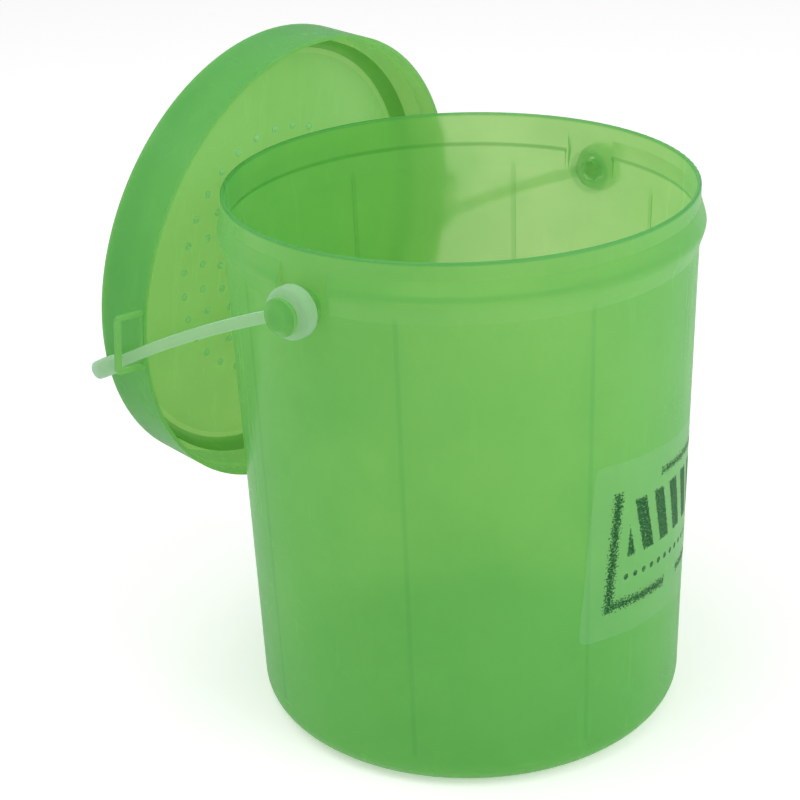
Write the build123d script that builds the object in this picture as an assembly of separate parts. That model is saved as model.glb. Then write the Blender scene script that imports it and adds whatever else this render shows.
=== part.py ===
"""Worm bucket: tapered pail with two trunnion studs, strap bail and captive vented lid.

Frame: origin at the centre of the pail's underside, +Z up, +X along the trunnion
axis, +Y towards the side where the bail and the lid hang. Millimetres.
"""
import os
from math import cos, hypot, radians, sin

from build123d import *

# pail
PAIL_H = 227.0                # underside to rim
RIM_R = 95.0                  # outside radius of the rim band
BASE_R = 90.4                 # outside radius of the wall, carried down to the underside
WALL = 1.6
FLOOR = 2.0
BASE_FILLET = 10.0
RIM_ROUND = 0.75

# snap bead under the rim band
SHOULDER_Z = PAIL_H - 24.0    # lower end of the bead
SHOULDER_R = 94.9
RIDGE_Z = PAIL_H - 15.5       # widest line of the bead
RIDGE_R = 97.6
RIDGE_ROUND = 5.0
BEAD_TOP_Z = PAIL_H - 7.0
BEAD_GAP = 23.0               # break in the bead at each stud
BEAD_LAP = 1.0                # how far the bead's rings run past the wall's faces
GROOVE_D = 0.9                # shallow hollow inside the bead, sharp at the ridge
GROOVE_H = 2.0                # its short upper flank

# faint upright ribs inside the wall
RIB_COUNT = 8
RIB_W = 1.8
RIB_H = 0.5
RIB_Z0 = 14.0
RIB_RUN_OUT = 3.0
RIB_LAP = 0.4

# trunnion studs
AXIS_Z = PAIL_H - 22.3
STUD_R = 6.0
STUD_BORE_R = 4.2
STUD_COLLAR_R = 7.6
STUD_COLLAR_X = 97.4
STUD_HEAD_R = 7.4
STUD_HEAD_X = 107.2
STUD_HEAD_T = 1.4
STUD_END_X = 111.2
STUD_EDGE = 0.8

# bail
EYE_X = 102.4                 # middle of the eye and of the strap
EYE_T = 8.0
EYE_R = 10.3
EYE_ROUND = 2.4
EYE_BORE_R = STUD_R + 0.3
STRAP_T = 2.6
STRAP_W = 4.5
GRIP_W = 7.6                  # oval section of the grip
GRIP_T = 4.8
LEG_START = EYE_R - 2.5       # path lengths are measured from the trunnion axis
LEG_ARC = 93.0                # end of the drooping arc
LEG_TAPER = 103.0             # where the strap starts to swell into the grip
LEG_WIDE = 108.0              # where it has the grip's section
LEG_TIP = 111.0               # end of the flat strap, inside the grip
LEG_END = 115.0               # where the corner starts
SWELL_START = 0.8             # size of the swelling where it leaves the strap
LEG_START_DEG = 19.3          # droop of the leg at the stud
LEG_END_DEG = 28.0            # droop where the leg turns straight
CORNER_R = 16.0
BOW_DEG = 8.0                 # half angle of the shallow bow between the corners

# lid, in its own frame: 0 at the open edge, + towards the closed side
LID_H = 26.0
LID_OPEN_R = 98.9
LID_TOP_R = 98.0
LID_WALL = 1.6
LID_ROUND = 2.0
PLUG_R = 93.2                 # folded ring that goes inside the rim
PLUG_Z = 15.0
PANEL_R = 88.8
PANEL_Z = 20.8
PANEL_T = 1.6
CATCH_Z = 7.5                 # snap catch inside the skirt
CATCH_H = 0.8
CATCH_HALF = 1.4
EAR_OUT = 13.7                # reach of the ear from the skirt's inner face
EAR_W = 25.4
EAR_T = 1.8
EAR_ROUND = 2.0
EAR_DROP = 2.7                # the ears sit this much off the middle, downwards at rest
EAR_LEAN = 15.0               # and lean back towards the closed side
EAR_SIDE = 1.8                # width of the loop's upper and lower arms
SLOT_IN = 2.0
SLOT_OUT = 11.2
LID_Y = 83.86                 # centre of the open edge in the pail's frame
LID_Z = 175.1
LID_TILT = 6.5                # open side looks at the pail and this much down

# label film
LABEL_W = 104.0
LABEL_H = 77.0
LABEL_T = 0.25
LABEL_AZ = 279.0
LABEL_Z = 94.0
LABEL_TURN = -5.0


def wall_radius(z):
    """Outside radius of the tapered wall at height z."""
    return BASE_R + (SHOULDER_R - BASE_R) * z / SHOULDER_Z


def turned(points, rounded=()):
    """Solid of revolution about Z of a closed r-z outline, with some corners rounded."""
    with BuildPart() as body:
        with BuildSketch(Plane.XZ) as outline:
            with BuildLine():
                Polyline(*points, close=True)
            make_face()
            for (r, z), radius in rounded:
                fillet(outline.vertices().sort_by_distance((r, z, 0))[0], radius)
        revolve(axis=Axis.Z)
    return body.part


def on_both_sides(shape):
    """The shape and its mirror image across the YZ plane."""
    return [shape, mirror(shape, Plane.YZ)]


def pail_shell():
    """Floor, tapered wall and plain rim band."""
    rim_in = RIM_R - WALL
    base_in = wall_radius(FLOOR) - WALL
    points = [
        (0, 0), (BASE_R, 0), (SHOULDER_R, SHOULDER_Z), (RIM_R, RIDGE_Z), (RIM_R, PAIL_H),
        (rim_in, PAIL_H), (rim_in, RIDGE_Z), (SHOULDER_R - WALL, SHOULDER_Z),
        (base_in, FLOOR), (0, FLOOR),
    ]
    rounded = [
        ((BASE_R, 0), BASE_FILLET), ((base_in, FLOOR), BASE_FILLET - WALL),
        ((RIM_R, PAIL_H), RIM_ROUND), ((rim_in, PAIL_H), RIM_ROUND),
    ]
    return turned(points, rounded)


def broken_ring(points, rounded, gap):
    """Ring with the given r-z outline, broken over both studs."""
    return turned(points, rounded) - Pos(0, 0, RIDGE_Z) * Box(4 * RIM_R, gap, PAIL_H)


def snap_bead():
    """Outer bead with two flanks that meet in a soft ridge."""
    core = RIM_R - BEAD_LAP
    ridge = (RIDGE_R, RIDGE_Z)
    points = [
        (core, SHOULDER_Z), (SHOULDER_R, SHOULDER_Z), ridge, (RIM_R, BEAD_TOP_Z),
        (core, BEAD_TOP_Z),
    ]
    return broken_ring(points, [(ridge, RIDGE_ROUND)], BEAD_GAP)


def bead_groove():
    """Shallow hollow behind the bead, with a sharp line inside at the ridge's height."""
    face = RIM_R - WALL
    core = face - BEAD_LAP
    points = [
        (core, SHOULDER_Z), (SHOULDER_R - WALL, SHOULDER_Z), (face + GROOVE_D, RIDGE_Z),
        (face, RIDGE_Z + GROOVE_H), (core, RIDGE_Z + GROOVE_H),
    ]
    return broken_ring(points, [], BEAD_GAP + WALL)


def stud():
    """Trunnion stud on the +X side: collar at the wall, shank and slight retaining head."""
    root = RIM_R - WALL + RIB_LAP
    head = STUD_HEAD_R - STUD_R
    outline = [
        (0, root), (STUD_COLLAR_R, root), (STUD_COLLAR_R, STUD_COLLAR_X - STUD_EDGE),
        (STUD_COLLAR_R - STUD_EDGE, STUD_COLLAR_X), (STUD_R, STUD_COLLAR_X),
        (STUD_R, STUD_HEAD_X), (STUD_HEAD_R, STUD_HEAD_X + head / 2),
        (STUD_HEAD_R, STUD_HEAD_X + head / 2 + STUD_HEAD_T), (STUD_R - head, STUD_END_X),
        (0, STUD_END_X),
    ]
    return Pos(0, 0, AXIS_Z) * Rot(0, 90, 0) * turned(outline)


def stud_bore():
    """Bore of the +X stud, open to the inside of the pail and closed by a wall at its end."""
    root = STUD_END_X - 2 * EYE_T - 2 * STUD_R
    depth = STUD_END_X - WALL
    outline = [
        (0, root), (STUD_BORE_R, root), (STUD_BORE_R, depth - STUD_EDGE),
        (STUD_BORE_R - STUD_EDGE, depth), (0, depth),
    ]
    return Pos(0, 0, AXIS_Z) * Rot(0, 90, 0) * turned(outline)


def wall_ribs():
    """Faint upright ribs inside, spaced evenly and clear of the studs."""
    low = wall_radius(RIB_Z0) - WALL
    high = SHOULDER_R - WALL
    band = turned([
        (low - RIB_H, RIB_Z0), (low + RIB_LAP, RIB_Z0), (high + RIB_LAP, SHOULDER_Z),
        (high, SHOULDER_Z), (high - RIB_H, SHOULDER_Z - RIB_RUN_OUT),
    ])
    step = 360 / RIB_COUNT
    bar = Pos(RIM_R, 0, PAIL_H / 2) * Box(RIM_R, RIB_W, PAIL_H)
    return [band & (Rot(0, 0, step * (k + 0.5)) * bar) for k in range(RIB_COUNT)]


def make_pail():
    """Shell, bead broken at the studs, hollow studs and ribs as one moulding."""
    pail = pail_shell()
    pail += snap_bead()
    pail -= bead_groove()
    for boss in on_both_sides(stud()):
        pail += boss
    for bore in on_both_sides(stud_bore()):
        pail -= bore
    for rib in wall_ribs():
        pail += rib
    return pail


def leg_point(s):
    """Point (y, z) of the strap's middle line, s along it from the trunnion axis."""
    start = radians(LEG_START_DEG)
    end = radians(LEG_END_DEG)
    rate = (end - start) / LEG_ARC
    bent = min(s, LEG_ARC)
    straight = s - bent
    y = (sin(start + rate * bent) - sin(start)) / rate + straight * cos(end)
    z = (cos(start + rate * bent) - cos(start)) / rate - straight * sin(end)
    return Vector(y, AXIS_Z + z)


def strap_sides(stations, widths):
    """Left and right side lines of a strap with the given widths at the given stations."""
    left, right = [], []
    for s, width in zip(stations, widths):
        along = leg_point(s + 1) - leg_point(s - 1)
        across = Vector(-along.Y, along.X).normalized() * width / 2
        left.append(leg_point(s) + across)
        right.append(leg_point(s) - across)
    return left, right


def make_leg():
    """One leg in the YZ plane: a flat strap in a drooping arc, then straight."""
    arc_stations = [LEG_START + (LEG_ARC - LEG_START) * k / 4 for k in range(5)]
    arc_left, arc_right = strap_sides(arc_stations, [STRAP_W] * 5)
    end_left, end_right = strap_sides([LEG_TIP], [STRAP_W])
    with BuildPart() as leg:
        with BuildSketch(Plane.YZ):
            with BuildLine():
                upper = Spline(*arc_left)
                lower = Spline(*arc_right)
                Polyline(upper @ 1, *end_left, *end_right, lower @ 1)
                Line(lower @ 0, upper @ 0)
            make_face()
        extrude(amount=STRAP_T / 2, both=True)
    return leg.part


def make_grip():
    """Oval bar behind the lid: two round corners joined by a shallow bow."""
    droop = radians(LEG_END_DEG)
    bow = radians(BOW_DEG)
    centre_x = EYE_X - CORNER_R
    bow_r = (centre_x + CORNER_R * sin(bow)) / sin(bow)
    crown = CORNER_R * cos(bow) + bow_r * (1 - cos(bow))
    end = leg_point(LEG_END)
    across_leg = Plane(
        origin=(0, end.X, end.Y), x_dir=(1, 0, 0), z_dir=(0, sin(droop), cos(droop)),
    )
    wide = LEG_WIDE - LEG_END
    taper = LEG_TAPER - LEG_END
    left = CenterArc((-centre_x, 0), CORNER_R, 180, BOW_DEG - 90)
    right = CenterArc((centre_x, 0), CORNER_R, 90 - BOW_DEG, BOW_DEG - 90)
    path = Wire([
        Line((-EYE_X, wide), (-EYE_X, 0)), left, ThreePointArc(left @ 1, (0, crown), right @ 0),
        right, Line((EYE_X, 0), (EYE_X, wide)),
    ])
    strap_oval = Rot(90, 0, 0) * Ellipse(SWELL_START * STRAP_T / 2, SWELL_START * STRAP_W / 2)
    grip_oval = Rot(90, 0, 0) * Ellipse(GRIP_T / 2, GRIP_W / 2)
    grip = sweep(Pos(-EYE_X, wide, 0) * grip_oval, path=path)
    for x in (-EYE_X, EYE_X):
        grip += loft([Pos(x, taper, 0) * strap_oval, Pos(x, wide, 0) * grip_oval])
    return across_leg * grip


def make_bail():
    """Two eyes, two legs and the grip as one moulding."""
    half = EYE_T / 2
    eye = turned(
        [(0, -half), (EYE_R, -half), (EYE_R, half), (0, half)],
        [((EYE_R, -half), EYE_ROUND), ((EYE_R, half), EYE_ROUND)],
    )
    at_stud = Pos(EYE_X, 0, AXIS_Z) * Rot(0, 90, 0)
    bail = make_grip()
    for leg in on_both_sides(Pos(EYE_X, 0, 0) * make_leg()):
        bail += leg
    for blank in on_both_sides(at_stud * eye):
        bail += blank
    for bore in on_both_sides(at_stud * Cylinder(EYE_BORE_R, 2 * EYE_T)):
        bail -= bore
    return bail


def lid_outline():
    """Half section of the lid: skirt with its catch, raised rim, folded ring and panel."""
    skirt_in = LID_OPEN_R - LID_WALL
    top_in = LID_TOP_R - LID_WALL
    deck_z = LID_H - LID_WALL
    catch_r = skirt_in - (skirt_in - top_in) * CATCH_Z / LID_H
    back_z = PANEL_Z + PANEL_T
    slope = (PLUG_R - PANEL_R) / (PANEL_Z - PLUG_Z)
    back_r = PANEL_R + LID_WALL * hypot(1, slope)
    fold_r = PLUG_R - LID_WALL
    fold_z = PANEL_Z - (fold_r - back_r) / slope
    return [
        (0, PANEL_Z), (PANEL_R, PANEL_Z), (PLUG_R, PLUG_Z), (PLUG_R, deck_z), (top_in, deck_z),
        (catch_r, CATCH_Z + CATCH_HALF), (catch_r - CATCH_H, CATCH_Z),
        (catch_r, CATCH_Z - CATCH_HALF), (skirt_in, 0), (LID_OPEN_R, 0), (LID_TOP_R, LID_H),
        (fold_r, LID_H), (fold_r, fold_z), (back_r - PANEL_T * slope, back_z),
        (0, back_z),
    ]


def ear():
    """Flat loop at the open edge on the +X side, for one leg of the bail."""
    root = LID_OPEN_R - LID_WALL
    plate = Pos(EAR_OUT / 2, 0, EAR_T / 2) * Box(EAR_OUT, EAR_W, EAR_T)
    plate = fillet(plate.edges().filter_by(Axis.Z).group_by(Axis.X)[-1], EAR_ROUND)
    slot = Box(SLOT_OUT - SLOT_IN, EAR_W - 2 * EAR_SIDE, 3 * EAR_T)
    plate -= Pos((SLOT_IN + SLOT_OUT) / 2, 0, EAR_T / 2) * slot
    leaning = Pos(root, EAR_DROP, 0) * Rot(0, -EAR_LEAN, 0) * plate
    return leaning - Cylinder(LID_OPEN_R - LID_WALL / 2, 2 * LID_H)


def make_lid():
    """Lid with both ears, hung on edge behind the pail."""
    lid = turned(lid_outline(), [((LID_TOP_R, LID_H), LID_ROUND)])
    for loop in on_both_sides(ear()):
        lid += loop
    return Pos(0, LID_Y, LID_Z) * Rot(LID_TILT - 90, 0, 0) * lid


def make_label():
    """Film patch that follows the tapered wall, turned a little clockwise."""
    low = LABEL_Z - LABEL_H
    high = LABEL_Z + LABEL_H
    band = turned([
        (wall_radius(low), low), (wall_radius(low) + LABEL_T, low),
        (wall_radius(high) + LABEL_T, high), (wall_radius(high), high),
    ])
    chord = 2 * wall_radius(LABEL_Z) * sin(LABEL_W / 2 / wall_radius(LABEL_Z))
    window = Pos(RIM_R, 0, LABEL_Z) * Rot(LABEL_TURN, 0, 0) * Box(RIM_R, chord, LABEL_H)
    return band & (Rot(0, 0, LABEL_AZ) * window)


def write(shape, node):
    """Write one node, which must be a single solid."""
    solids = shape.solids()
    print(node, len(solids), "solid(s)", round(sum(s.volume for s in solids)), "mm3")
    body = solids[0]
    body.label = node
    export_step(body, f"parts/{node}.step")


os.makedirs("parts", exist_ok=True)
write(make_pail(), "bucket")
write(make_bail(), "bail")
write(make_lid(), "lid")
write(make_label(), "label")
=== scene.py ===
"""Worm bucket: looks of the pail, the bail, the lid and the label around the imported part."""
import math

import bmesh
import bpy
from mathutils import Matrix, Vector


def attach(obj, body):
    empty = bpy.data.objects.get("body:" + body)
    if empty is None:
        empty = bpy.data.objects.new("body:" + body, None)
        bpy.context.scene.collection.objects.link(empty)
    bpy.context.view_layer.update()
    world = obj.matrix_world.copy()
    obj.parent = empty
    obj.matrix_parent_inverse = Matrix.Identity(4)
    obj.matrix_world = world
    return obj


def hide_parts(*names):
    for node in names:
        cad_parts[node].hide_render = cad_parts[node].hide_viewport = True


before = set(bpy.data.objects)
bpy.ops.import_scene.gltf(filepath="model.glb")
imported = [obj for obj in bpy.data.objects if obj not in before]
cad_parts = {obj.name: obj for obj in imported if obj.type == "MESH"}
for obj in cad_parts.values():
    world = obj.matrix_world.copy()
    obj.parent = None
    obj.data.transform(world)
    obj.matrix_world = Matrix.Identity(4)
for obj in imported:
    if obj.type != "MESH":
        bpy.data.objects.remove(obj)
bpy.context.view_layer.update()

MM = 0.001

# Sizes the looks share with the solids, in millimetres and degrees
LID_CENTRE = (0.0, 83.86, 175.1)
LID_TILT = 6.5
PANEL_DEPTH = 20.8
WALL_BASE_R = 90.4
WALL_SHOULDER_R = 94.9
WALL_SHOULDER_Z = 203.0
RIB_COUNT = 8
AXIS_Z = 204.7

# Label film, in millimetres and degrees
LABEL_AZ = 279.0
LABEL_Z = 94.0
LABEL_TURN = -5.0
LABEL_W = 104.0
LABEL_H = 77.0
LABEL_CORNER = 3.0
LABEL_LIFT = 0.06
FLAT_UNIT = 100.0  # millimetres of film in one UV unit

# Painted shade on the pail: spans in millimetres where it is drawn darker
LIP_Z = (225.2, 226.6)
INSIDE_R = (93.9, 94.5)
LINE_Z = (212.0, 213.0)
BESIDE_STUD_Y = (11.2, 11.6)
RIB_Z = (16.0, 203.0)
RIB_HALF_WIDTH = 0.5
FLOOR_Z = (2.2, 4.0)
BORE_R = (4.3, 6.0)
BORE_X = (88.0, 109.6)
BOSS_R = (8.8, 10.8)
BOSS_X = (80.0, 88.0)

# How much of the painted shade colour each of them takes
LIP_SHADE = 0.6
LINE_SHADE = 0.42
RIB_SHADE = 0.15
FLOOR_SHADE = 0.5
BORE_SHADE = 0.30
BOSS_SHADE = 0.28
SHADE_COLOUR = (0.08, 0.46, 0.13, 1)

# The lid's folded ring, in millimetres from its axis and from its open edge
FOLD_R = (86.8, 94.2)
FOLD_DEPTH = (13.5, 21.2)

# Thin plastic
PLASTIC_IOR = 1.45
RELIEF_DEPTH = 0.4 * MM
SLANT_SPAN = (0.12, 0.80)       # the wall turns less clear over this much slant
SLANT_LEAST = 0.12              # share of its clearness left when seen along its face
SHEEN_SPAN = (0.45, 0.95)        # painted sheen: its light turns bluer over this much slant
SHEEN_FILTER = (0.72, 0.86, 1.0, 1.0)
# painted light: clear share given to the lid's folded ring, which lifts the shade that falls there
FOLD_SHADE_LIFT = 0.36
PASSING_COLOUR = (0.90, 0.98, 0.84, 1)
PASSING_SHARE = 0.4

# Pips on the lid
PIP_RADIUS = 1.6
PIP_HEIGHT = 0.9
PIP_SINK = 0.05
PIP_RINGS = (  # ring radius in millimetres, number of pips, angle of the first in degrees
    (55.0, 30, 90.0), (44.0, 24, 82.8), (33.0, 18, 83.4), (22.0, 12, 90.0), (11.0, 6, 60.0),
)

# Studio, in metres and watts
FLOOR_REACH = 6.0
FLOOR_DROP = 0.0002
FLOOR_COLOUR = (0.86, 0.86, 0.86, 1)
FLOOR_LIFT = 0.30
SKY_LIGHT, SKY_SEEN = 0.80, 1.0
SOFTBOXES = (  # name, place, aim, width, power
    ("key", (-0.5, 0.3, 1.5), (0, 0, 0.1), 1.2, 8.0),
    ("front", (0.10, -1.2, 1.0), (0, 0, 0.14), 0.9, 6.5),
)
CAMERA_PLACE = (-0.57608, -0.44034, 0.46343)
CAMERA_AIM = (-0.04120, 0.00102, 0.14598)
CAMERA_ROLL = -2.253
CAMERA_LENS = 85.95


def wall_radius(z):
    return WALL_BASE_R + (WALL_SHOULDER_R - WALL_BASE_R) * z / WALL_SHOULDER_Z


# Node helpers


def new_group(name, inputs, outputs):
    """A shader node group with named sockets. inputs: (name, kind, value), outputs: (name, kind)."""
    tree = bpy.data.node_groups.new(name, "ShaderNodeTree")
    for title, kind, value in inputs:
        socket = tree.interface.new_socket(title, in_out="INPUT", socket_type=kind)
        socket.default_value = value
    for title, kind in outputs:
        tree.interface.new_socket(title, in_out="OUTPUT", socket_type=kind)
    return tree, tree.nodes.new("NodeGroupInput"), tree.nodes.new("NodeGroupOutput")


def wire(tree, source, target):
    """Links a socket, or sets a plain value."""
    if isinstance(source, bpy.types.NodeSocket):
        tree.links.new(source, target)
    else:
        target.default_value = source


def math_node(tree, operation, *values, clamp=False):
    node = tree.nodes.new("ShaderNodeMath")
    node.operation = operation
    node.use_clamp = clamp
    for socket, value in zip(node.inputs, values):
        wire(tree, value, socket)
    return node.outputs[0]


def times(tree, *values):
    """Product of all the values."""
    product = values[0]
    for value in values[1:]:
        product = math_node(tree, "MULTIPLY", product, value)
    return product


def plus(tree, a, b, clamp=False):
    return math_node(tree, "ADD", a, b, clamp=clamp)


def minus(tree, a, b):
    return math_node(tree, "SUBTRACT", a, b)


def strongest(tree, *masks):
    best = masks[0]
    for mask in masks[1:]:
        best = math_node(tree, "MAXIMUM", best, mask)
    return best


def distance(tree, a, b):
    """Length of the flat vector (a, b)."""
    return math_node(tree, "SQRT", plus(tree, times(tree, a, a), times(tree, b, b)))


def off_middle(tree, value):
    """How far the fraction of value is from one half."""
    return minus(tree, math_node(tree, "FRACT", value), 0.5)


def remap(tree, value, low, high, to_low=0.0, to_high=1.0, smooth=False):
    node = tree.nodes.new("ShaderNodeMapRange")
    node.interpolation_type = "SMOOTHSTEP" if smooth else "LINEAR"
    node.clamp = True
    for name, v in (
        ("Value", value), ("From Min", low), ("From Max", high), ("To Min", to_low), ("To Max", to_high),
    ):
        wire(tree, v, node.inputs[name])
    return node.outputs[0]


def fade(tree, value, span, to_low, to_high, smooth=False):
    """Goes from to_low to to_high over a span in millimetres."""
    return remap(tree, value, span[0] * MM, span[1] * MM, to_low, to_high, smooth)


def window(tree, value, span, soft):
    """1 within a span in millimetres, fading over soft outside it."""
    rise = fade(tree, value, (span[0] - soft, span[0]), 0.0, 1.0, smooth=True)
    fall = fade(tree, value, (span[1], span[1] + soft), 1.0, 0.0, smooth=True)
    return times(tree, rise, fall)


def mix_colour(tree, factor, a, b):
    node = tree.nodes.new("ShaderNodeMix")
    node.data_type = "RGBA"
    wire(tree, factor, node.inputs[0])
    wire(tree, a, node.inputs[6])
    wire(tree, b, node.inputs[7])
    return node.outputs[2]


def mix_shader(tree, factor, a, b):
    node = tree.nodes.new("ShaderNodeMixShader")
    wire(tree, factor, node.inputs[0])
    tree.links.new(a, node.inputs[1])
    tree.links.new(b, node.inputs[2])
    return node.outputs[0]


def noise(tree, vector, scale, detail=2.0, roughness=0.5):
    node = tree.nodes.new("ShaderNodeTexNoise")
    wire(tree, vector, node.inputs["Vector"])
    wire(tree, scale, node.inputs["Scale"])
    node.inputs["Detail"].default_value = detail
    node.inputs["Roughness"].default_value = roughness
    return node.outputs["Fac"]


def scaled(tree, vector, factors):
    node = tree.nodes.new("ShaderNodeVectorMath")
    node.operation = "MULTIPLY"
    wire(tree, vector, node.inputs[0])
    node.inputs[1].default_value = factors
    return node.outputs[0]


def object_coords(tree):
    return tree.nodes.new("ShaderNodeTexCoord").outputs["Object"]


def split_xyz(tree, vector):
    node = tree.nodes.new("ShaderNodeSeparateXYZ")
    wire(tree, vector, node.inputs[0])
    return node.outputs


def new_material(name):
    mat = bpy.data.materials.new(name)
    mat.use_nodes = True
    tree = mat.node_tree
    tree.nodes.clear()
    return mat, tree, tree.nodes.new("ShaderNodeOutputMaterial")


# Effects that more than one material uses


def moulded_cloud():
    """Cloudy tone, drawn flow marks and gloss changes of thin moulded plastic."""
    tree, given, out = new_group(
        "Moulded Cloud",
        [
            ("Vector", "NodeSocketVector", (0, 0, 0)),
            ("Deep", "NodeSocketColor", (0.1, 0.4, 0.05, 1)),
            ("Pale", "NodeSocketColor", (0.3, 0.6, 0.1, 1)),
            ("Cloud Size", "NodeSocketFloat", 26.0),
            ("Roughness", "NodeSocketFloat", 0.3),
        ],
        [
            ("Color", "NodeSocketColor"), ("Roughness", "NodeSocketFloat"),
            ("Height", "NodeSocketFloat"), ("Cloud", "NodeSocketFloat"),
        ],
    )
    vector = given.outputs["Vector"]
    cloud = noise(tree, vector, given.outputs["Cloud Size"], 3.0, 0.55)
    flow = noise(tree, scaled(tree, vector, (1.0, 1.0, 0.12)), 95.0, 3.0, 0.6)
    grain = noise(tree, vector, 1400.0, 2.0, 0.6)
    both = plus(tree, times(tree, cloud, 0.88), times(tree, flow, 0.12))
    tone = remap(tree, both, 0.36, 0.64, smooth=True)
    colour = mix_colour(tree, tone, given.outputs["Deep"], given.outputs["Pale"])
    gloss_change = remap(tree, flow, 0.3, 0.7, -0.05, 0.07)
    ripple = plus(tree, times(tree, flow, 0.4), times(tree, grain, 0.08))
    wire(tree, colour, out.inputs["Color"])
    wire(tree, plus(tree, given.outputs["Roughness"], gloss_change, clamp=True), out.inputs["Roughness"])
    wire(tree, plus(tree, ripple, times(tree, cloud, 0.6)), out.inputs["Height"])
    wire(tree, tone, out.inputs["Cloud"])
    return tree


def fine_scratches():
    """Sparse hair scratches: a mask that is 1 on a scratch."""
    tree, given, out = new_group(
        "Fine Scratches",
        [("Vector", "NodeSocketVector", (0, 0, 0)), ("Amount", "NodeSocketFloat", 0.5)],
        [("Mask", "NodeSocketFloat")],
    )
    hairs = []
    for turn, stretch in ((0.5, (1, 1, 0.035)), (1.9, (0.04, 1, 1))):
        spin = tree.nodes.new("ShaderNodeMapping")
        spin.inputs["Rotation"].default_value = (turn, turn * 0.7, 0.3 * turn)
        wire(tree, given.outputs["Vector"], spin.inputs["Vector"])
        lines = noise(tree, scaled(tree, spin.outputs[0], stretch), 900.0, 0.0)
        hairs.append(remap(tree, lines, 0.735, 0.77))
    patches = remap(tree, noise(tree, given.outputs["Vector"], 45.0, 1.0), 0.45, 0.6)
    mask = times(tree, strongest(tree, *hairs), patches, given.outputs["Amount"])
    wire(tree, mask, out.inputs["Mask"])
    return tree


CLOUD = moulded_cloud()
SCRATCHES = fine_scratches()


def use(tree, group, **values):
    node = tree.nodes.new("ShaderNodeGroup")
    node.node_tree = group
    for name, value in values.items():
        wire(tree, value, node.inputs[name])
    return node


# Materials of the three mouldings


def pail_painted_shade(tree, coords):
    """Painted shade: the pail drawn darker at its lip, in a line inside at the bead, along the ribs, on its
    floor and round the studs.
    """
    x, y, z = split_xyz(tree, coords)
    across = math_node(tree, "ABSOLUTE", y)
    far_out = math_node(tree, "ABSOLUTE", x)
    inside = fade(tree, distance(tree, x, y), INSIDE_R, 1.0, 0.0)
    lip = fade(tree, z, LIP_Z, 0.0, LIP_SHADE, smooth=True)
    line = times(tree, window(tree, z, LINE_Z, 1.2), inside, fade(tree, across, BESIDE_STUD_Y, 0.0, LINE_SHADE))
    ribs_per_radian = RIB_COUNT / (2 * math.pi)
    turn = times(tree, math_node(tree, "ARCTAN2", y, x), ribs_per_radian)
    from_rib = math_node(tree, "ABSOLUTE", off_middle(tree, turn))
    half_width = ribs_per_radian * RIB_HALF_WIDTH / WALL_SHOULDER_R
    rib = remap(tree, from_rib, half_width, 3.0 * half_width, RIB_SHADE, 0.0, smooth=True)
    ribs = times(tree, rib, window(tree, z, RIB_Z, 4.0))
    floor = fade(tree, z, FLOOR_Z, FLOOR_SHADE, 0.0)
    off_axis = distance(tree, y, minus(tree, z, AXIS_Z * MM))
    bore = times(tree, fade(tree, off_axis, BORE_R, BORE_SHADE, 0.0, smooth=True),
                 window(tree, far_out, BORE_X, 0.4))
    boss = times(tree, fade(tree, off_axis, BOSS_R, BOSS_SHADE, 0.0, smooth=True), inside,
                 fade(tree, far_out, BOSS_X, 0.0, 1.0))
    return strongest(tree, lip, line, ribs, floor, bore, boss)


def lid_fold(tree, coords):
    """1 on the lid's folded ring, where two thin walls stand close together and painted light lifts the shade.
    """
    place = tree.nodes.new("ShaderNodeMapping")
    place.vector_type = "TEXTURE"
    place.inputs["Location"].default_value = [v * MM for v in LID_CENTRE]
    place.inputs["Rotation"].default_value = (math.radians(LID_TILT - 90), 0, 0)
    wire(tree, coords, place.inputs["Vector"])
    x, y, depth = split_xyz(tree, place.outputs[0])
    return times(tree, window(tree, distance(tree, x, y), FOLD_R, 0.8), window(tree, depth, FOLD_DEPTH, 0.8))


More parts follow.
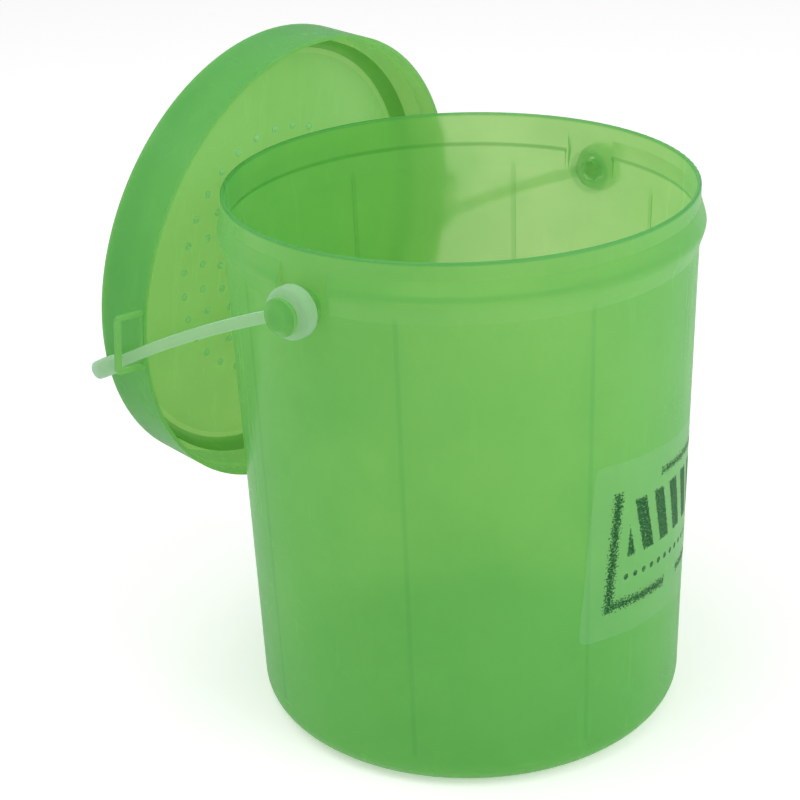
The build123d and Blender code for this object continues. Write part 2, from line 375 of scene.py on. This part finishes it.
def thin_plastic(name, deep, pale, glow, tint, glow_share, clear, roughness, frost, bump=0.25,
                 marks=None, shade_lift_zone=None):
    """Thin translucent moulding: its skin, light from behind, and a clear share that shows through."""
    mat, tree, out = new_material(name)
    coords = object_coords(tree)
    cloud = use(tree, CLOUD, Vector=coords, Deep=deep, Pale=pale, Roughness=roughness)
    hairs = use(tree, SCRATCHES, Vector=coords, Amount=0.6).outputs[0]

    relief = tree.nodes.new("ShaderNodeBump")
    relief.inputs["Strength"].default_value = bump
    relief.inputs["Distance"].default_value = RELIEF_DEPTH
    wire(tree, minus(tree, cloud.outputs["Height"], times(tree, hairs, 0.5)), relief.inputs["Height"])

    weight = tree.nodes.new("ShaderNodeLayerWeight")
    weight.inputs["Blend"].default_value = 0.5
    slant = weight.outputs["Facing"]
    # painted sheen: the light through the wall is drawn bluer towards its outline
    edge = [c * f for c, f in zip(glow, SHEEN_FILTER)]
    colour = cloud.outputs["Color"]
    light = mix_colour(tree, remap(tree, slant, *SHEEN_SPAN, smooth=True), glow, edge)
    share = times(tree, remap(tree, cloud.outputs["Cloud"], 0.0, 1.0, clear * 0.92, clear * 1.08),
                  remap(tree, slant, *SLANT_SPAN, 1.0, SLANT_LEAST))
    # painted light: the folded ring is made clearer, which lifts the shade in the fold
    if shade_lift_zone:
        share = strongest(tree, share, times(tree, shade_lift_zone(tree, coords), FOLD_SHADE_LIFT))
    # painted shade: marks pulls the colour and the light through the wall towards the shade colour
    if marks:
        mask = marks(tree, coords)
        colour = mix_colour(tree, mask, colour, SHADE_COLOUR)
        light = mix_colour(tree, mask, light, SHADE_COLOUR)
        share = times(tree, share, minus(tree, 1.0, mask))

    skin = tree.nodes.new("ShaderNodeBsdfPrincipled")
    skin.inputs["IOR"].default_value = PLASTIC_IOR
    wire(tree, colour, skin.inputs["Base Color"])
    wire(tree, plus(tree, cloud.outputs["Roughness"], times(tree, hairs, 0.2), clamp=True),
         skin.inputs["Roughness"])
    wire(tree, relief.outputs[0], skin.inputs["Normal"])
    lit = tree.nodes.new("ShaderNodeBsdfTranslucent")
    wire(tree, light, lit.inputs["Color"])
    wire(tree, relief.outputs[0], lit.inputs["Normal"])
    through = tree.nodes.new("ShaderNodeBsdfRefraction")
    through.inputs["Color"].default_value = tint
    through.inputs["Roughness"].default_value = frost
    through.inputs["IOR"].default_value = PLASTIC_IOR
    body = mix_shader(tree, glow_share, skin.outputs[0], lit.outputs[0])
    seen = mix_shader(tree, share, body, through.outputs[0])

    # light on its way between the walls passes more freely than the eye sees through them
    path = tree.nodes.new("ShaderNodeLightPath")
    passing = tree.nodes.new("ShaderNodeBsdfTransparent")
    passing.inputs["Color"].default_value = PASSING_COLOUR
    between = strongest(tree, path.outputs["Is Shadow Ray"], path.outputs["Is Diffuse Ray"])
    whole = mix_shader(tree, times(tree, between, PASSING_SHARE), seen, passing.outputs[0])
    wire(tree, whole, out.inputs["Surface"])
    return mat


GREEN = thin_plastic(
    "green_pail_plastic",
    deep=(0.14, 0.565, 0.18, 1), pale=(0.18, 0.615, 0.21, 1),
    glow=(0.60, 0.88, 0.34, 1), tint=(0.89, 0.98, 0.70, 1),
    glow_share=0.56, clear=0.44, roughness=0.22, frost=0.28, bump=0.12, marks=pail_painted_shade,
)
LID_GREEN = thin_plastic(
    "green_lid_plastic",
    deep=(0.14, 0.53, 0.18, 1), pale=(0.17, 0.57, 0.20, 1),
    glow=(0.48, 0.80, 0.27, 1), tint=(0.88, 0.97, 0.66, 1),
    glow_share=0.60, clear=0.22, roughness=0.24, frost=0.36, bump=0.10, shade_lift_zone=lid_fold,
)
MILKY = thin_plastic(
    "milky_bail_plastic",
    deep=(0.54, 0.84, 0.57, 1), pale=(0.62, 0.89, 0.65, 1),
    glow=(0.84, 0.96, 0.81, 1), tint=(0.97, 1.0, 0.95, 1),
    glow_share=0.56, clear=0.54, roughness=0.32, frost=0.45,
)

for node, mat in (("bucket", GREEN), ("bail", MILKY), ("lid", LID_GREEN)):
    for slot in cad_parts[node].material_slots:
        slot.material = mat


# Pips on the lid, as geometry nodes


def pip_material():
    """Glossy raised pips, mostly clear so that the panel's colour carries through; their pale tone holds a
    painted highlight.
    """
    mat, tree, out = new_material("green_pip_plastic")
    tone = noise(tree, object_coords(tree), 260.0, 1.0)
    gloss = tree.nodes.new("ShaderNodeBsdfPrincipled")
    gloss.inputs["Roughness"].default_value = 0.24
    # pale teal: the pips' own teal tone, made paler as a painted highlight so that they don't read dark
    colour = mix_colour(tree, tone, (0.42, 0.86, 0.56, 1), (0.52, 0.94, 0.66, 1))
    wire(tree, colour, gloss.inputs["Base Color"])
    clear = tree.nodes.new("ShaderNodeBsdfTransparent")
    clear.inputs["Color"].default_value = (0.95, 1.0, 0.97, 1)
    share = remap(tree, tone, 0.3, 0.7, 0.60, 0.72)
    wire(tree, mix_shader(tree, share, gloss.outputs[0], clear.outputs[0]), out.inputs["Surface"])
    return mat


def pip_tree():
    """Low domes spaced round one ring."""
    tree = bpy.data.node_groups.new("Pip Ring", "GeometryNodeTree")
    for name, kind, value in (
        ("Ring Radius", "NodeSocketFloat", 0.05), ("Count", "NodeSocketInt", 12),
        ("Start Angle", "NodeSocketFloat", 0.0), ("Pip Radius", "NodeSocketFloat", 0.0016),
        ("Pip Height", "NodeSocketFloat", 0.0008),
    ):
        tree.interface.new_socket(name, in_out="INPUT", socket_type=kind).default_value = value
    tree.interface.new_socket("Material", in_out="INPUT", socket_type="NodeSocketMaterial")
    tree.interface.new_socket("Geometry", in_out="OUTPUT", socket_type="NodeSocketGeometry")
    add, link = tree.nodes.new, tree.links.new
    given, out = add("NodeGroupInput").outputs, add("NodeGroupOutput")
    ring = add("GeometryNodeMeshCircle")
    link(given["Ring Radius"], ring.inputs["Radius"])
    link(given["Count"], ring.inputs["Vertices"])
    turn = add("ShaderNodeCombineXYZ")
    link(given["Start Angle"], turn.inputs["Z"])
    turned = add("GeometryNodeTransform")
    link(ring.outputs[0], turned.inputs["Geometry"])
    link(turn.outputs[0], turned.inputs["Rotation"])
    ball = add("GeometryNodeMeshUVSphere")
    ball.inputs["Segments"].default_value = 14
    ball.inputs["Rings"].default_value = 8
    ball.inputs["Radius"].default_value = 1.0
    size = add("ShaderNodeCombineXYZ")
    link(given["Pip Radius"], size.inputs["X"])
    link(given["Pip Radius"], size.inputs["Y"])
    link(given["Pip Height"], size.inputs["Z"])
    squat = add("GeometryNodeTransform")
    link(ball.outputs[0], squat.inputs["Geometry"])
    link(size.outputs[0], squat.inputs["Scale"])
    spread = add("GeometryNodeInstanceOnPoints")
    link(turned.outputs[0], spread.inputs["Points"])
    link(squat.outputs[0], spread.inputs["Instance"])
    real = add("GeometryNodeRealizeInstances")
    link(spread.outputs[0], real.inputs[0])
    smooth = add("GeometryNodeSetShadeSmooth")
    link(real.outputs[0], smooth.inputs[0])
    skin = add("GeometryNodeSetMaterial")
    link(smooth.outputs[0], skin.inputs["Geometry"])
    link(given["Material"], skin.inputs["Material"])
    link(skin.outputs[0], out.inputs[0])
    return tree


def new_object(name, data):
    obj = bpy.data.objects.new(name, data)
    bpy.context.scene.collection.objects.link(obj)
    return obj


def grown(tree, **values):
    """The plain mesh that a geometry node tree makes from the given inputs."""
    host = new_object("host", bpy.data.meshes.new("host"))
    mod = host.modifiers.new("grow", "NODES")
    mod.node_group = tree
    sockets = {s.name: s.identifier for s in tree.interface.items_tree if s.in_out == "INPUT"}
    for name, value in values.items():
        mod[sockets[name.replace("_", " ")]] = value
    bpy.context.view_layer.update()
    seen = host.evaluated_get(bpy.context.evaluated_depsgraph_get())
    mesh = bpy.data.meshes.new_from_object(seen)
    bpy.data.objects.remove(host)
    return mesh


def joined(name, meshes, place):
    """One object of several meshes, moved to their place."""
    whole = bmesh.new()
    for mesh in meshes:
        whole.from_mesh(mesh)
    whole.transform(place)
    result = bpy.data.meshes.new(name)
    whole.to_mesh(result)
    whole.free()
    for mat in meshes[0].materials:
        result.materials.append(mat)
    return new_object(name, result)


PIP_GREEN = pip_material()
pips = pip_tree()
rings = [
    grown(pips, Ring_Radius=radius * MM, Count=count, Start_Angle=math.radians(first),
          Pip_Radius=PIP_RADIUS * MM, Pip_Height=PIP_HEIGHT * MM, Material=PIP_GREEN)
    for radius, count, first in PIP_RINGS
]
lid_frame = Matrix.Translation(Vector(LID_CENTRE) * MM) @ Matrix.Rotation(math.radians(LID_TILT - 90), 4, "X")
on_panel = Matrix.Translation((0, 0, (PANEL_DEPTH - PIP_SINK) * MM))
lid_pips = joined("lid_pips", rings, lid_frame @ on_panel)
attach(lid_pips, "lid_body")


# Label


def label_surface(u, v):
    """Point on the wall u to the right and v up from the label's middle, in millimetres."""
    turn = math.radians(LABEL_TURN)
    across = u * math.cos(turn) - v * math.sin(turn)
    z = LABEL_Z + u * math.sin(turn) + v * math.cos(turn)
    angle = math.radians(LABEL_AZ) + across / wall_radius(LABEL_Z)
    r = wall_radius(z) + LABEL_LIFT
    return (r * math.cos(angle) * MM, r * math.sin(angle) * MM, z * MM)


def rounded(u, v):
    """Draws a point of the square grid in, so that the film has round corners."""
    start_u, start_v = LABEL_W / 2 - LABEL_CORNER, LABEL_H / 2 - LABEL_CORNER
    over_u, over_v = abs(u) - start_u, abs(v) - start_v
    if over_u > 0 and over_v > 0:
        pull = max(over_u, over_v) / math.hypot(over_u, over_v)
        u = math.copysign(start_u + over_u * pull, u)
        v = math.copysign(start_v + over_v * pull, v)
    return u, v


def label_mesh():
    """Film patch with rounded corners that lies on the wall, with its flat size as UV."""
    columns, rows = 72, 48
    body = bmesh.new()
    uv = body.loops.layers.uv.new("flat")
    grid, flat = [], {}
    for i in range(columns + 1):
        line = []
        for j in range(rows + 1):
            u, v = rounded(LABEL_W * (i / columns - 0.5), LABEL_H * (j / rows - 0.5))
            vert = body.verts.new(label_surface(u, v))
            flat[vert] = (u / FLAT_UNIT + 0.5, v / FLAT_UNIT + 0.5)
            line.append(vert)
        grid.append(line)
    for i in range(columns):
        for j in range(rows):
            face = body.faces.new((grid[i][j], grid[i + 1][j], grid[i + 1][j + 1], grid[i][j + 1]))
            face.smooth = True
            for loop in face.loops:
                loop[uv].uv = flat[loop.vert]
    mesh = bpy.data.meshes.new("label_film")
    body.to_mesh(mesh)
    body.free()
    return mesh


def label_material():
    """Clear film with a dry-brush print: a broken frame, slanted bars and a row of dots."""
    mat, tree, out = new_material("label_film")
    uv = tree.nodes.new("ShaderNodeUVMap")
    uv.uv_map = "flat"
    place = split_xyz(tree, uv.outputs[0])
    u = minus(tree, place["X"], 0.5)
    v = minus(tree, place["Y"], 0.5)
    ragged = minus(tree, noise(tree, scaled(tree, uv.outputs[0], (60, 60, 1)), 1.6, 4.0, 0.7), 0.5)
    dry = noise(tree, scaled(tree, uv.outputs[0], (22, 70, 1)), 3.0, 3.0, 0.65)
    soft = 0.002

    def band(gap, half_width, rough):
        """1 within half_width of gap 0, with a torn edge."""
        torn = plus(tree, math_node(tree, "ABSOLUTE", gap), times(tree, ragged, rough))
        return remap(tree, torn, half_width - soft, half_width + soft, 1.0, 0.0)

    def stroke(across, middle, half_width, run, low, high):
        """One brush stroke along run from low to high, where across is middle."""
        line = band(minus(tree, across, middle), half_width, 0.13)
        return times(tree, line, band(minus(tree, run, (low + high) / 2), (high - low) / 2, 0.09))

    bars_per_unit, dots_per_unit = 8.0, 18.0
    lean = plus(tree, u, times(tree, v, 0.35))
    from_bar = math_node(tree, "DIVIDE", off_middle(tree, times(tree, lean, bars_per_unit)), bars_per_unit)
    bars = times(tree, band(from_bar, 0.036, 0.040), band(minus(tree, v, 0.08), 0.12, 0.05),
                 band(u, 0.31, 0.03))
    from_dot = math_node(tree, "DIVIDE", off_middle(tree, times(tree, u, dots_per_unit)), dots_per_unit)
    dots = times(tree, band(distance(tree, from_dot, plus(tree, v, 0.13)), 0.013, 0.01), band(u, 0.33, 0.0))
    marks = strongest(
        tree, bars, dots,
        stroke(u, -0.39, 0.020, v, -0.27, 0.25), stroke(v, -0.245, 0.017, u, -0.41, -0.02),
        stroke(v, 0.27, 0.012, u, -0.12, 0.41), stroke(u, 0.39, 0.018, v, -0.24, 0.28),
        stroke(v, -0.245, 0.014, u, 0.12, 0.40),
    )
    ink = times(tree, marks, remap(tree, dry, 0.38, 0.46, 0.35, 1.0))

    film = tree.nodes.new("ShaderNodeBsdfPrincipled")
    wire(tree, remap(tree, ink, 0.0, 1.0, 0.20, 0.62), film.inputs["Roughness"])
    wire(tree, mix_colour(tree, ink, (0.36, 0.72, 0.38, 1), (0.0, 0.085, 0.012, 1)), film.inputs["Base Color"])
    wire(tree, remap(tree, ink, 0.0, 1.0, 0.5, 0.12), film.inputs["Specular IOR Level"])
    clear = tree.nodes.new("ShaderNodeBsdfTransparent")
    clear.inputs["Color"].default_value = (0.98, 1.0, 0.99, 1)
    share = remap(tree, ink, 0.0, 1.0, 0.84, 0.0)
    wire(tree, mix_shader(tree, share, film.outputs[0], clear.outputs[0]), out.inputs["Surface"])
    return mat


label = new_object("label_film", label_mesh())
label.data.materials.append(label_material())
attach(label, "bucket_body")
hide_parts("label")


# Floor, light and camera


def shown_white(tree, strength):
    """The strength for rays that show the background itself, and 0 for all others."""
    path = tree.nodes.new("ShaderNodeLightPath").outputs
    seen = strongest(tree, path["Is Camera Ray"], path["Is Glossy Ray"], path["Is Transmission Ray"])
    return times(tree, seen, strength)


def make_floor():
    corners = [(-FLOOR_REACH, -FLOOR_REACH, 0), (FLOOR_REACH, -FLOOR_REACH, 0),
               (FLOOR_REACH, FLOOR_REACH, 0), (-FLOOR_REACH, FLOOR_REACH, 0)]
    mesh = bpy.data.meshes.new("floor")
    mesh.from_pydata(corners, [], [(0, 1, 2, 3)])
    floor = new_object("floor", mesh)
    floor.location.z = -FLOOR_DROP
    mat, tree, out = new_material("pale_floor")
    base = tree.nodes.new("ShaderNodeBsdfDiffuse")
    base.inputs["Color"].default_value = FLOOR_COLOUR
    lift = tree.nodes.new("ShaderNodeEmission")
    wire(tree, shown_white(tree, FLOOR_LIFT), lift.inputs["Strength"])
    both = tree.nodes.new("ShaderNodeAddShader")
    tree.links.new(base.outputs[0], both.inputs[0])
    tree.links.new(lift.outputs[0], both.inputs[1])
    tree.links.new(both.outputs[0], out.inputs["Surface"])
    mesh.materials.append(mat)


def make_world():
    world = bpy.data.worlds.new("studio")
    bpy.context.scene.world = world
    world.use_nodes = True
    tree = world.node_tree
    tree.nodes.clear()
    out = tree.nodes.new("ShaderNodeOutputWorld")
    sky = tree.nodes.new("ShaderNodeBackground")
    level = remap(tree, shown_white(tree, 1.0), 0.0, 1.0, SKY_LIGHT, SKY_SEEN)
    wire(tree, level, sky.inputs["Strength"])
    tree.links.new(sky.outputs[0], out.inputs[0])


def softbox(name, place, aim, width, power):
    light = bpy.data.lights.new(name, "AREA")
    light.shape = "SQUARE"
    light.size = width
    light.energy = power
    lamp = new_object(name, light)
    lamp.location = place
    lamp.rotation_mode = "QUATERNION"
    lamp.rotation_quaternion = (Vector(aim) - Vector(place)).to_track_quat("-Z", "Y")


def make_camera():
    place, aim = Vector(CAMERA_PLACE), Vector(CAMERA_AIM)
    data = bpy.data.cameras.new("camera")
    data.sensor_width = 36.0
    data.lens = CAMERA_LENS
    camera = new_object("camera", data)
    turn = (aim - place).to_track_quat("-Z", "Y").to_matrix().to_4x4()
    roll = Matrix.Rotation(math.radians(CAMERA_ROLL), 4, "Z")
    camera.matrix_world = Matrix.Translation(place) @ turn @ roll
    bpy.context.scene.camera = camera


make_floor()
make_world()
for box in SOFTBOXES:
    softbox(*box)
make_camera()
bpy.context.scene.view_settings.view_transform = "Standard"
